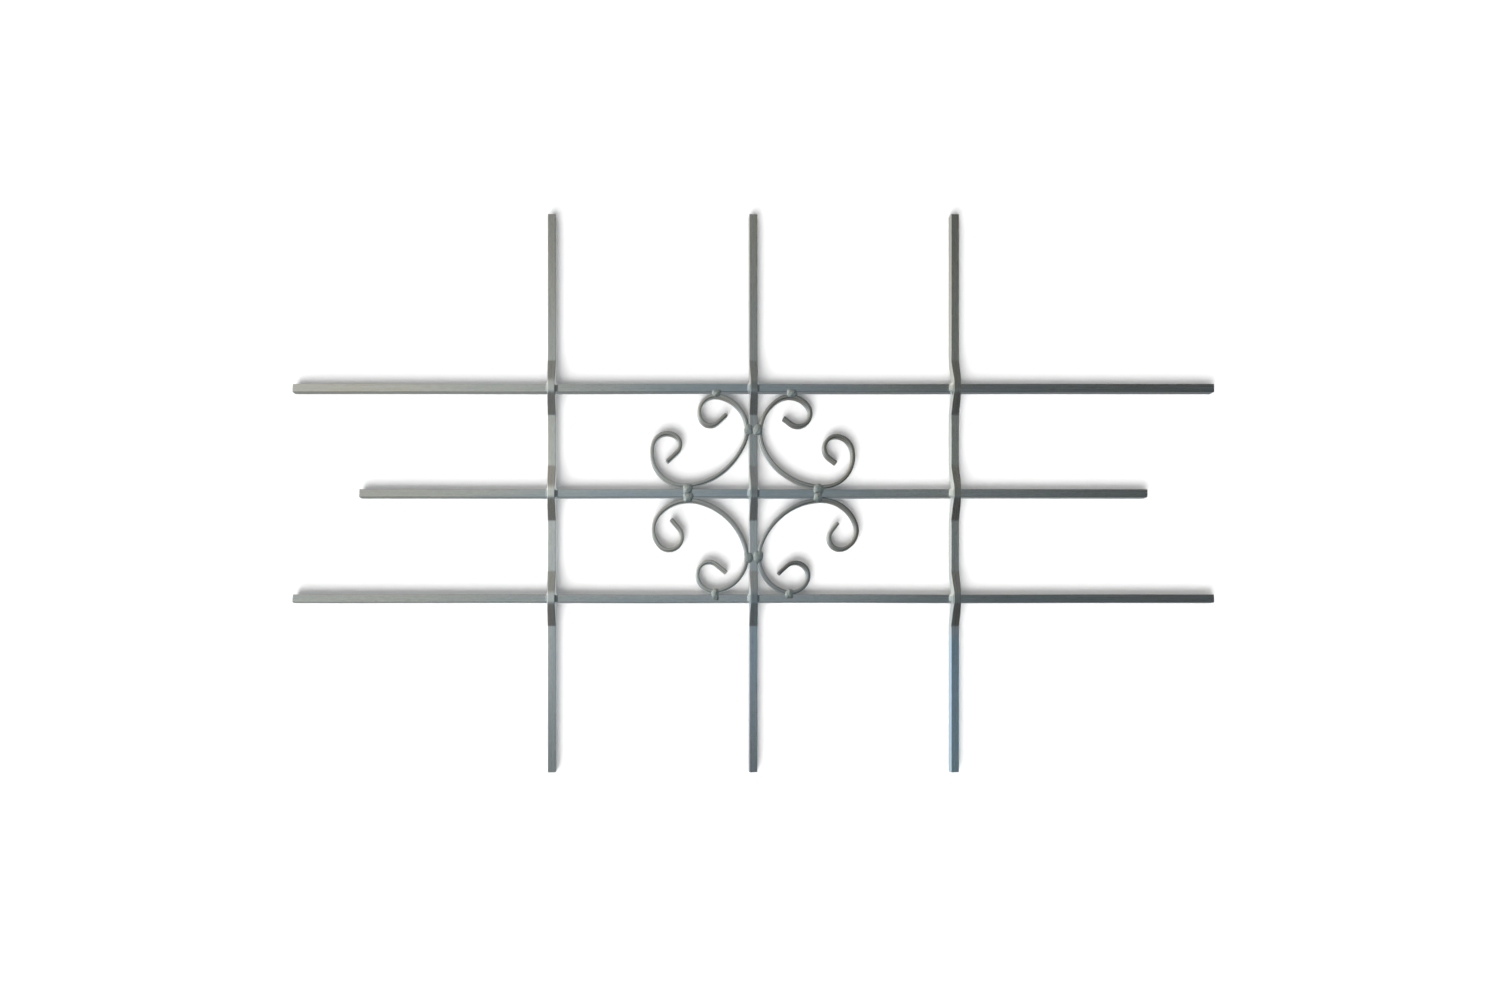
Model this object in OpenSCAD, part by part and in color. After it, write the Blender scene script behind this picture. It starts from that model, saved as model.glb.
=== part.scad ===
// Window security grille: three level square bars, three cranked upright bars
// that pass in front of them, four C-scrolls round the middle crossing, and
// the welds that join them. Millimetres, +Z up, the window behind (+Y).
// The origin is the middle crossing, on the plane where the bars touch.

/* [Bars] */
// Side of the square bar that the frame is made of
bar = 10; // [8:0.5:12]
// Length of the top and bottom bars
long_bar_length = 1139; // [900:1:1400]
// Length of the middle bar
middle_bar_length = 974; // [800:1:1250]
// Length of each upright, end to end
upright_length = 690; // [560:1:900]
// Height from one level bar to the next, centre to centre
level_pitch = 130; // [110:1:150]
// Distance from one upright to the next, centre to centre
upright_pitch = 249; // [230:1:300]

/* [Cranks] */
// Flat length of an upright where it passes in front of a level bar
crank_flat = 14; // [13:0.5:20]
// Height over which an upright comes forward by the thickness of one bar
crank_run = 27; // [24:0.5:30]
// Bend radius of the cranks, at the middle of the bar
crank_radius = 10; // [7:0.5:11]

/* [Scrolls] */
// Thickness of the flat bar that the scrolls are bent from
scroll_thickness = 5; // [4:0.5:6]
// Gap between a scroll and the bars it is tacked to
scroll_gap = 0.2; // [0.1:0.05:0.5]
// Radius of the middle of a scroll's back, before it is fitted to its cell
back_radius = 84; // [76:1:92]
// Degrees the back turns on each side of its middle
back_turn = 26.5; // [24:0.5:29]
// Radius of the shoulders that lie against the bars, before fitting
shoulder_radius = 46; // [42:0.5:50]
// Degrees a shoulder turns
shoulder_turn = 91.5; // [86:0.5:96]
// Radius where a shoulder rolls over into its curl, before fitting
curl_radius = 23; // [20:0.5:26]
// Degrees that stretch turns
curl_turn = 87; // [82:1:92]
// Radius of the eye of a curl, before fitting
eye_radius = 14.5; // [12:0.5:16]
// Degrees the eye turns
eye_turn = 148; // [138:1:156]
// Straight length left at each tip, before fitting
scroll_tip = 15; // [10:0.5:18]

/* [Welds] */
// Height of a tack weld in front of the bars
tack_height = 2; // [1.5:0.1:2.5]
// Side of the weld beads behind a crossing
bead_size = 3.5; // [2.5:0.1:4]
// Length of those beads along the level bar
bead_length = 9; // [7:0.5:10]

/* [Hidden] */
$fn = 48;
bend_steps = 6;                 // flats along each bend of a crank
turn_step = 6;                  // degrees of each flat along a scroll
zinc_light = "#9aa2a0";
zinc_mid = "#8b9496";
zinc_dark = "#7d8688";
zinc_weld = "#a9aeac";

function unit(angle) = [cos(angle), sin(angle)];
function swapped(points) = [for (p = points) [p.y, p.x]];
function reversed(points) = [for (i = [len(points) - 1 : -1 : 0]) points[i]];
function without_first(points) = [for (i = [1 : len(points) - 1]) points[i]];

// ---- Level bars -----------------------------------------------------------

// A straight square bar at one height, behind the plane where the bars touch
module level_bar(length, height) {
    translate([-length / 2, 0, height - bar / 2])
        cube([length, bar, bar]);
}

module top_bar() {
    color(zinc_light) level_bar(long_bar_length, level_pitch);
}

module middle_bar() {
    color(zinc_light) level_bar(middle_bar_length, 0);
}

module bottom_bar() {
    color(zinc_light) level_bar(long_bar_length, -level_pitch);
}

// ---- Cranked uprights -----------------------------------------------------

// Slope of a crank: two equal bends and the straight between them rise by one bar
bend_span = norm([crank_run, bar - 2 * crank_radius]);
crank_angle = asin(2 * crank_radius / bend_span)
    + atan2(bar - 2 * crank_radius, crank_run);

// One edge of the side view from a crossing up to the straight bar above it, as
// [y, height] points. side is 1 for the front edge and -1 for the rear edge.
function crank_edge(side) = concat(
    [for (i = [0 : bend_steps])
        let (turn = crank_angle * i / bend_steps, r = crank_radius + side * bar / 2)
        [crank_radius - bar / 2 - r * cos(turn), crank_flat / 2 + r * sin(turn)]],
    [for (i = [bend_steps : -1 : 0])
        let (turn = crank_angle * i / bend_steps, r = crank_radius - side * bar / 2)
        [bar / 2 - crank_radius + r * cos(turn), crank_flat / 2 + crank_run - r * sin(turn)]]
);

// The same edge through a whole crossing, from below to above
function crossing_edge(side, height) = concat(
    [for (p = reversed(crank_edge(side))) [p.x, height - p.y]],
    [for (p = crank_edge(side)) [p.x, height + p.y]]
);

// The whole edge of an upright, from its bottom end to its top end
function upright_edge(side) = concat(
    [[side > 0 ? 0 : bar, -upright_length / 2]],
    [for (level = [-1 : 1]) each crossing_edge(side, level * level_pitch)],
    [[side > 0 ? 0 : bar, upright_length / 2]]
);

// A square bar in line with the level bars, cranked forward over each of them
module upright(x) {
    translate([x - bar / 2, 0, 0])
        rotate([90, 0, 90])
            linear_extrude(bar)
                polygon(concat(upright_edge(1), reversed(upright_edge(-1))));
}

module left_upright() {
    color(zinc_mid) upright(-upright_pitch);
}

module centre_upright() {
    color(zinc_mid) upright(0);
}

module right_upright() {
    color(zinc_mid) upright(upright_pitch);
}

// ---- Scrolls --------------------------------------------------------------

// A scroll is worked out in the upper right cell and is the same about that
// cell's diagonal. Half of it starts at the middle of the back, heading up and
// to the left, and turns clockwise through four curves to its straight tip.
radii = [back_radius, shoulder_radius, curl_radius, eye_radius];
turns = [back_turn, shoulder_turn, curl_turn, eye_turn];
curves = len(radii);

function heading(i) = i == 0 ? 135 : heading(i - 1) - turns[i - 1];
function curve_start(i) = i == 0 ? [0, 0]
    : curve_centre(i - 1) - radii[i - 1] * unit(heading(i) - 90);
function curve_centre(i) = curve_start(i) + radii[i] * unit(heading(i) - 90);

// The middle line reaches furthest left on the shoulder and highest on the curl.
// It is fitted so that the outer face clears the bars all round by scroll_gap.
line_left = curve_centre(1).x - radii[1];
line_top = curve_centre(2).y + radii[2];
cell = level_pitch - bar;
fit = (cell - 2 * scroll_gap - scroll_thickness) / (line_top - line_left);
line_inset = bar / 2 + scroll_gap + scroll_thickness / 2;
function fitted(p) = fit * (p - [line_left, line_left]) + [line_inset, line_inset];

// Points along half a scroll, back to tip. side is 1 for the outer face and -1
// for the inner face.
function half_scroll(side) = let (out = side * scroll_thickness / 2) concat(
    [for (i = [0 : curves - 1])
        let (steps = ceil(turns[i] / turn_step))
        for (k = [(i == 0 ? 0 : 1) : steps])
            fitted(curve_centre(i))
                - (fit * radii[i] + out) * unit(heading(i) - turns[i] * k / steps - 90)],
    [fitted(curve_start(curves) + scroll_tip * unit(heading(curves)))
        + out * unit(heading(curves) + 90)]
);

outer_half = half_scroll(1);
inner_half = half_scroll(-1);
scroll_outline = concat(
    outer_half,
    reversed(inner_half),
    without_first(swapped(inner_half)),
    reversed(without_first(swapped(outer_half)))
);

// Turns what is drawn in the upper right cell into the cell asked for.
// side is 1 on the right and -1 on the left; rise is 1 above and -1 below.
module in_cell(side, rise) {
    mirror([side < 0 ? 1 : 0, 0, 0])
        mirror([0, 0, rise < 0 ? 1 : 0])
            children();
}

// A flat bar bent into a C whose two ends roll inwards
module scroll(side, rise) {
    in_cell(side, rise)
        translate([0, bar, 0])
            rotate([90, 0, 0])
                linear_extrude(bar)
                    polygon(scroll_outline);
}

module upper_left_scroll() {
    color(zinc_mid) scroll(-1, 1);
}

module upper_right_scroll() {
    color(zinc_dark) scroll(1, 1);
}

module lower_left_scroll() {
    color(zinc_mid) scroll(-1, -1);
}

module lower_right_scroll() {
    color(zinc_dark) scroll(1, -1);
}

// ---- Tack welds between scrolls and bars ----------------------------------

// A round-faced tack as wide as the bar, flat against the front of the bars
module tack(x, height) {
    face_radius = (pow(bar / 2, 2) + pow(tack_height, 2)) / (2 * tack_height);
    intersection() {
        translate([x, face_radius - tack_height, height])
            sphere(face_radius);
        translate([x - bar, -bar, height - bar])
            cube([2 * bar, bar, 2 * bar]);
    }
}

seam = (bar + scroll_gap) / 2;          // middle of the gap beside a bar
shoulder_at = fitted(curve_centre(1)).y;
curl_at = fitted(curve_centre(2)).x;

// Joins a scroll to the centre upright
module upright_tack(side, rise) {
    color(zinc_weld) in_cell(side, rise) tack(seam, shoulder_at);
}

// Joins a scroll to the middle bar
module middle_bar_tack(side, rise) {
    color(zinc_weld) in_cell(side, rise) tack(shoulder_at, seam);
}

// Joins a scroll to the top or the bottom bar
module end_bar_tack(side, rise) {
    color(zinc_weld) in_cell(side, rise) tack(curl_at, level_pitch - seam);
}

module upper_left_tack_top_bar() {
    end_bar_tack(-1, 1);
}

module upper_left_tack_upright() {
    upright_tack(-1, 1);
}

module upper_left_tack_middle_bar() {
    middle_bar_tack(-1, 1);
}

module upper_right_tack_top_bar() {
    end_bar_tack(1, 1);
}

module upper_right_tack_upright() {
    upright_tack(1, 1);
}

module upper_right_tack_middle_bar() {
    middle_bar_tack(1, 1);
}

module lower_left_tack_bottom_bar() {
    end_bar_tack(-1, -1);
}

module lower_left_tack_upright() {
    upright_tack(-1, -1);
}

module lower_left_tack_middle_bar() {
    middle_bar_tack(-1, -1);
}

module lower_right_tack_bottom_bar() {
    end_bar_tack(1, -1);
}

module lower_right_tack_upright() {
    upright_tack(1, -1);
}

module lower_right_tack_middle_bar() {
    middle_bar_tack(1, -1);
}

// ---- Welds behind the crossings -------------------------------------------

// A bead with a round face in the corner between the top of a level bar and
// the back of the upright that crosses it
module bead() {
    translate([0, 0, bar / 2])
        intersection() {
            rotate([0, 90, 0])
                cylinder(h = bead_length, r = bead_size, center = true);
            translate([-bar, 0, 0])
                cube([2 * bar, bar, bar]);
        }
}

// The two beads of one crossing, above and below the level bar
module crossing_weld(column, row) {
    color(zinc_weld)
        difference() {
            translate([column * upright_pitch, 0, row * level_pitch]) {
                bead();
                mirror([0, 0, 1]) bead();
            }
            upright(column * upright_pitch);
        }
}

module top_left_crossing_weld() {
    crossing_weld(-1, 1);
}

module top_centre_crossing_weld() {
    crossing_weld(0, 1);
}

module top_right_crossing_weld() {
    crossing_weld(1, 1);
}

module middle_left_crossing_weld() {
    crossing_weld(-1, 0);
}

module middle_centre_crossing_weld() {
    crossing_weld(0, 0);
}

module middle_right_crossing_weld() {
    crossing_weld(1, 0);
}

module bottom_left_crossing_weld() {
    crossing_weld(-1, -1);
}

module bottom_centre_crossing_weld() {
    crossing_weld(0, -1);
}

module bottom_right_crossing_weld() {
    crossing_weld(1, -1);
}

top_bar();
middle_bar();
bottom_bar();
left_upright();
centre_upright();
right_upright();
upper_left_scroll();
upper_right_scroll();
lower_left_scroll();
lower_right_scroll();
upper_left_tack_top_bar();
upper_left_tack_upright();
upper_left_tack_middle_bar();
upper_right_tack_top_bar();
upper_right_tack_upright();
upper_right_tack_middle_bar();
lower_left_tack_bottom_bar();
lower_left_tack_upright();
lower_left_tack_middle_bar();
lower_right_tack_bottom_bar();
lower_right_tack_upright();
lower_right_tack_middle_bar();
top_left_crossing_weld();
top_centre_crossing_weld();
top_right_crossing_weld();
middle_left_crossing_weld();
middle_centre_crossing_weld();
middle_right_crossing_weld();
bottom_left_crossing_weld();
bottom_centre_crossing_weld();
bottom_right_crossing_weld();
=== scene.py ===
"""A welded window grille: square bars, cranked uprights, C-scrolls and the welds that join them.

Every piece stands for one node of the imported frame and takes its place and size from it. The metal is
zinc-plated mild steel. Metres, +Z up, with the front of the grille facing -Y.
"""

import bpy
import numpy as np
from bpy.props import FloatProperty, FloatVectorProperty, PointerProperty
from bpy.types import Operator, Panel, PropertyGroup
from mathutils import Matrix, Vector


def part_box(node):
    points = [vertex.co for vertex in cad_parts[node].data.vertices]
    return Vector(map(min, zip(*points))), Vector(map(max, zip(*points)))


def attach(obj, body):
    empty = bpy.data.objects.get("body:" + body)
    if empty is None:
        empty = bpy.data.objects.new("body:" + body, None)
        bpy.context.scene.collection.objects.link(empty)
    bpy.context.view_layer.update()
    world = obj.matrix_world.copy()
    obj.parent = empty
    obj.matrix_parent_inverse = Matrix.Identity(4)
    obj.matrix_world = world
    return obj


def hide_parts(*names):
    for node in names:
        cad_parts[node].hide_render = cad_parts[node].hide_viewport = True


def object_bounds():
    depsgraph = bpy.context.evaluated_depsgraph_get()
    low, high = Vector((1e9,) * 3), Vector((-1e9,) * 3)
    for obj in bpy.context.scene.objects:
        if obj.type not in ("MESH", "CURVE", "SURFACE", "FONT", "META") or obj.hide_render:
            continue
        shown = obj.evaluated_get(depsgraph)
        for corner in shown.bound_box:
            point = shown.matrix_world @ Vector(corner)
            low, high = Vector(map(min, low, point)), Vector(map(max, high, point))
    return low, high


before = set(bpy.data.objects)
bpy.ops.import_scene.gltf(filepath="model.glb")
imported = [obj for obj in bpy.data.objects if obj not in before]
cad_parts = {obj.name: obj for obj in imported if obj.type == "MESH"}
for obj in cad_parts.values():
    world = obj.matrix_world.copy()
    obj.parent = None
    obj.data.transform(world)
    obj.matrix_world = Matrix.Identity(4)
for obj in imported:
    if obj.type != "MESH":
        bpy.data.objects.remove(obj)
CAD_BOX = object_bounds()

bl_info = {
    "name": "Window grille",
    "version": (1, 0, 0),
    "blender": (4, 5, 0),
    "location": "3D View > Sidebar > Grille",
    "description": "Builds a welded window grille from its bars, scrolls and welds",
    "category": "Object",
}


# ---- Colours and sizes ------------------------------------------------------


def linear(colour):
    """An sRGB hex colour such as "#8f9a9b" as linear red, green and blue."""
    part = np.array([int(colour[i : i + 2], 16) for i in (1, 3, 5)]) / 255
    return tuple(np.where(part <= 0.04045, part / 12.92, ((part + 0.055) / 1.055) ** 2.4))


def length(name, description, default):
    """A length in metres that the sidebar shows."""
    return FloatProperty(
        name=name,
        description=description,
        default=default,
        min=0.0,
        unit="LENGTH",
        subtype="DISTANCE",
        precision=4,
    )


def colour(name, description, default):
    """A colour, given as sRGB hex, that the sidebar shows."""
    return FloatVectorProperty(
        name=name,
        description=description,
        default=linear(default),
        min=0.0,
        max=1.0,
        size=3,
        subtype="COLOR",
    )


def factor(name, description, default):
    """A plain number from 0 to 1 that the sidebar shows."""
    return FloatProperty(
        name=name, description=description, default=default, min=0.0, max=1.0, subtype="FACTOR"
    )


def watts(name, description, default):
    """A lamp's power that the sidebar shows."""
    return FloatProperty(name=name, description=description, default=default, min=0.0, unit="POWER")


class GrilleShape(PropertyGroup):
    """Sizes of the bars, scrolls and welds that the frame doesn't state."""

    bar_edge: length("Bar edge radius", "Rounding of the square bars' edges", 0.0007)
    scroll_edge: length("Scroll edge radius", "Rounding of the flat bars' edges", 0.0014)
    end_bevel: length("End bevel", "Width of the broken edge round a sheared end", 0.0005)
    crank_flat: length("Crank flat", "Flat length of an upright over a level bar", 0.010)
    crank_run: length("Crank run", "Height over which an upright comes forward", 0.029)
    crank_radius: length("Crank bend radius", "At the middle of the bar", 0.0065)
    crank_bulge: factor("Crank bulge", "How far a bend squeezes its inner side wider", 0.35)
    crank_flare: length("Crank flare", "How far each flank spreads over a level bar", 0.0026)
    tack_height: length("Tack height", "Height of a tack weld in front of the bars", 0.0012)


class GrilleFinish(PropertyGroup):
    """Colours and gloss of the zinc plating."""

    zinc_warm: colour("Warm zinc", "Straw tint of the plating", "#d3d1c8")
    zinc_grey: colour("Grey zinc", "Plain plating", "#ced2d2")
    zinc_blue: colour("Blue zinc", "Blue tint of a thin passivate film", "#b2c6d4")
    weld: colour("Weld metal", "Plated weld beads", "#d2dcdc")
    patches: factor("Film patches", "How much the film's tint varies from patch to patch", 0.9)
    roughness: factor("Zinc roughness", "0 is a mirror, 1 is dull", 0.27)


class GrilleStudio(PropertyGroup):
    """The wall, the floor and the light."""

    wall_gap: length("Wall gap", "From the back of the grille to the wall", 0.0025)
    wall: colour("Wall", "Pale wall and floor", "#f2f2f2")
    key_size: length("Key light size", "Width of the soft box that casts the shadows", 4.9)
    key_power: watts("Key light power", "Of the soft box", 520.0)
    fill_size: length("Fill light size", "Width of the light that softens the shadows", 6.0)
    fill_power: watts("Fill light power", "Of the light in front", 24.0)
    room: FloatProperty(
        name="Room light", description="Strength of the studio all round", default=1.0, min=0.0
    )


# ---- Mesh making ------------------------------------------------------------


def skin(name, *shells, smooth=35.0):
    """An object from closed shells of rings.

    A shell is (rings, run, edge, plating). rings[i, j] is point j of ring i; quads join neighbouring rings,
    and a fan to its middle closes the first and the last ring. run is the same points as if the bar were
    straight, (distance along, across, through), and edge is 1 on rounded edges and 0 on flats. plating
    holds (brightness, film) for each point or ring, or one pair for the shell. smooth is the angle in
    degrees past which an edge is sharp.
    """
    points, runs, edges, platings, faces, count = [], [], [], [], [], 0
    for rings, run, edge, plating in shells:
        n, m, _ = rings.shape
        p = np.concatenate([rings.reshape(-1, 3), rings[[0, -1]].mean(axis=1)])
        i, j = np.meshgrid(np.arange(n - 1), np.arange(m), indexing="ij")
        a, b = i * m + j, i * m + (j + 1) % m
        quads = np.stack([a, b, b + m, a + m], axis=-1).reshape(-1, 4)
        here, there = np.arange(m), (np.arange(m) + 1) % m
        fan = np.concatenate(
            [
                np.stack([np.full(m, n * m), there, here], axis=-1),
                np.stack([np.full(m, n * m + 1), here + (n - 1) * m, there + (n - 1) * m], axis=-1),
            ]
        )
        triangles = np.concatenate([quads[:, [0, 1, 2]], quads[:, [0, 2, 3]], fan])
        first, second, third = (p[triangles[:, corner]] for corner in range(3))
        if (first * np.cross(second, third)).sum() < 0:  # the rings were walked the other way round
            quads, fan = quads[:, ::-1], fan[:, ::-1]
        points.append(p)
        runs.append(np.concatenate([run.reshape(-1, 3), run[[0, -1]].mean(axis=1)]))
        edges.append(np.concatenate([np.broadcast_to(edge, (n, m)).ravel(), [0.0, 0.0]]))
        laid = np.broadcast_to(plating, (n, m, 2))
        platings.append(np.concatenate([laid.reshape(-1, 2), laid[[0, -1], 0]]))
        faces += (quads + count).tolist() + (fan + count).tolist()
        count += len(p)
    mesh = bpy.data.meshes.new(name)
    mesh.from_pydata(np.concatenate(points), [], faces)
    mesh.attributes.new("run", "FLOAT_VECTOR", "POINT").data.foreach_set(
        "vector", np.concatenate(runs).astype(np.float32).ravel()
    )
    mesh.attributes.new("edge", "FLOAT", "POINT").data.foreach_set(
        "value", np.concatenate(edges).astype(np.float32)
    )
    for name_of, values in zip(("brightness", "film"), np.concatenate(platings).T):
        mesh.attributes.new(name_of, "FLOAT", "POINT").data.foreach_set("value", values.astype(np.float32))
    mesh.shade_smooth()
    mesh.set_sharp_from_angle(angle=np.radians(smooth))
    mesh.validate()
    piece = bpy.data.objects.new(name, mesh)
    bpy.context.collection.objects.link(piece)
    return piece


def section(width, depth, radius):
    """The outline of a flat or square bar, anticlockwise, as (across, through), and 1 where it is rounded.

    Each corner is a quarter circle in four steps. A point just past each end of the corner and three along
    each side keep the sides flat.
    """
    corner = np.arange(4)[:, None]
    inset = [width / 2 - radius, depth / 2 - radius]
    middle = np.array([[1, 1], [-1, 1], [-1, -1], [1, -1]])[:, None] * inset
    angle = np.radians(90 * corner + np.linspace(0, 90, 5))
    arc = middle + radius * np.stack([np.cos(angle), np.sin(angle)], axis=-1)
    heading = np.stack([-np.sin(angle), np.cos(angle)], axis=-1)
    past = 0.35 * radius
    before = arc[:, :1] - past * heading[:, :1]
    after = arc[:, -1:] + past * heading[:, -1:]
    side = after + (np.roll(before, -1, axis=0) - after) * np.array([0.25, 0.5, 0.75])[:, None]
    outline = np.concatenate([before, arc, after, side], axis=1).reshape(-1, 2)
    rounded = np.tile([0.2, 0.7, 1, 1, 1, 0.7, 0.2, 0, 0, 0], 4)
    return outline, rounded


def bent_line(stretches, first, step):
    """A line bent in one plane, from (length, degrees turned) stretches.

    Its heading starts at first degrees and changes evenly along each stretch, with the corners of that
    change eased over 1 mm, and its place is the running sum of its heading. step is the spacing of the
    points that are kept. Returns distance along, place, heading in radians and curvature.
    """
    lengths, turns = np.array(stretches).T
    at = np.concatenate([[0], np.cumsum(lengths)])
    to = np.radians(first + np.concatenate([[0], np.cumsum(turns)]))
    fine, ease = 0.0001, 0.001
    s = np.arange(0, at[-1] + fine / 2, fine)
    heading = eased(np.interp(s, at, to), ease / fine)
    mid = (heading[1:] + heading[:-1]) / 2
    moves = np.stack([np.cos(mid), np.sin(mid)], axis=-1) * fine
    place = np.concatenate([[[0, 0]], np.cumsum(moves, axis=0)])
    bend = np.gradient(heading, fine)
    pick = np.linspace(0, len(s) - 1, int(round(at[-1] / step)) + 1).round().astype(int)
    return s[pick], place[pick], heading[pick], bend[pick]


def eased(values, width):
    """values smoothed by a bell curve of that width, in samples, with the ends held."""
    reach = int(3 * width) + 1
    bell = np.exp(-0.5 * (np.arange(-reach, reach + 1) / width) ** 2)
    padded = np.pad(values, reach, mode="edge")
    return np.convolve(padded, bell / bell.sum(), mode="valid")


def with_ends(s, bevel):
    """Distances s with extra rings at both ends, and how much each ring is drawn in there, as a share.

    The cut face is held flat by a ring inside it. The next ring is the edge of the cut, drawn in by the
    bevel, and the two after it carry the full section.
    """
    last = s[-1]
    inner = s[(s > 3 * bevel) & (s < last - 3 * bevel)]
    start = np.array([0, 0, bevel, 1.6 * bevel])
    full = np.concatenate([start, inner, last - start[::-1]])
    drawn = np.zeros(len(full))
    drawn[[0, 1, -2, -1]] = [3, 1, 1, 3]
    return full, drawn


def bar_rings(middle, across, through, outline, drawn, bevel):
    """Rings of a bar: outline laid out along across and through round each point of middle.

    outline is one outline for all rings or one for each. drawn says how many bevel widths a ring shrinks.
    """
    size = np.abs(outline).max(axis=-2, keepdims=True)
    shrink = 1 - drawn[:, None, None] * bevel / size
    laid = np.broadcast_to(outline, (len(middle),) + outline.shape[-2:]) * shrink
    return (
        middle[:, None]
        + across[:, None] * laid[..., :1]
        + through[:, None] * laid[..., 1:],
        laid,
    )


def along(s, laid, start):
    """The points of rings as if the bar were straight. start sets bars apart in the pattern."""
    return np.concatenate([np.broadcast_to(s[:, None, None] + start, laid.shape[:2] + (1,)), laid], axis=-1)


def sheared(rings, direction, slant):
    """rings with both cut faces leaning.

    slant is (axis, share) pairs: points move along direction, back from the cut, by that share of their
    distance along the axis.
    """
    n = len(rings)
    lean = np.zeros((n, rings.shape[1]))
    for end, sign in ((slice(0, 4), 1), (slice(n - 4, n), -1)):
        for axis, share in slant:
            offset = rings[end][:, :, axis] - rings[end][:, :, axis].min()
            lean[end] += sign * share * offset
    return rings + lean[..., None] * np.asarray(direction, float)


def plated(at, knots):
    """(brightness, film) of the plating, with painted reflection in it, at distances at, from knots of
    (millimetres, brightness, film).

    It runs straight from knot to knot, and the corners are eased over 5 mm.
    """
    place, bright, film = np.array(knots).T
    fine = np.linspace(at.min(), at.max(), 400)
    width = 0.005 / (fine[1] - fine[0])
    smooth = [eased(np.interp(fine, place / 1000, values), width) for values in (bright, film)]
    return np.stack([np.interp(at, fine, values) for values in smooth], axis=-1)[:, None]


def finish_piece(piece, node, material):
    """Gives a piece its material, ties it to the one body and lets it stand for its node."""
    piece.data.materials.append(material)
    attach(piece, "root")
    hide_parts(node)


# ---- Materials --------------------------------------------------------------


def add(tree, kind, inputs=None, stops=None, **settings):
    """Adds a node.

    settings are its properties, inputs maps a socket to a value or to another node's output, and stops are
    the (place, colour) stops of a colour ramp.
    """
    node = tree.nodes.new(kind)
    for name, value in settings.items():
        setattr(node, name, value)
    for name, value in (inputs or {}).items():
        if isinstance(value, bpy.types.NodeSocket):
            tree.links.new(value, node.inputs[name])
        else:
            node.inputs[name].default_value = value
    if stops:
        ramp = node.color_ramp.elements
        while len(ramp) < len(stops):
            ramp.new(0.5)
        for element, (place, shade) in zip(ramp, stops):
            element.position, element.color = place, (*shade, 1.0)
    return node


def new_material(name):
    """An empty material and its output node."""
    material = bpy.data.materials.new(name)
    material.use_nodes = True
    material.node_tree.nodes.clear()
    return material, material.node_tree, add(material.node_tree, "ShaderNodeOutputMaterial")


def stretched(tree, vector, along_mm, across_mm):
    """vector in metres scaled so that one unit of noise is along_mm long and across_mm wide."""
    scale = (1000 / along_mm, 1000 / across_mm, 1000 / across_mm)
    return add(tree, "ShaderNodeMapping", {"Vector": vector, "Scale": scale}).outputs["Vector"]


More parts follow.
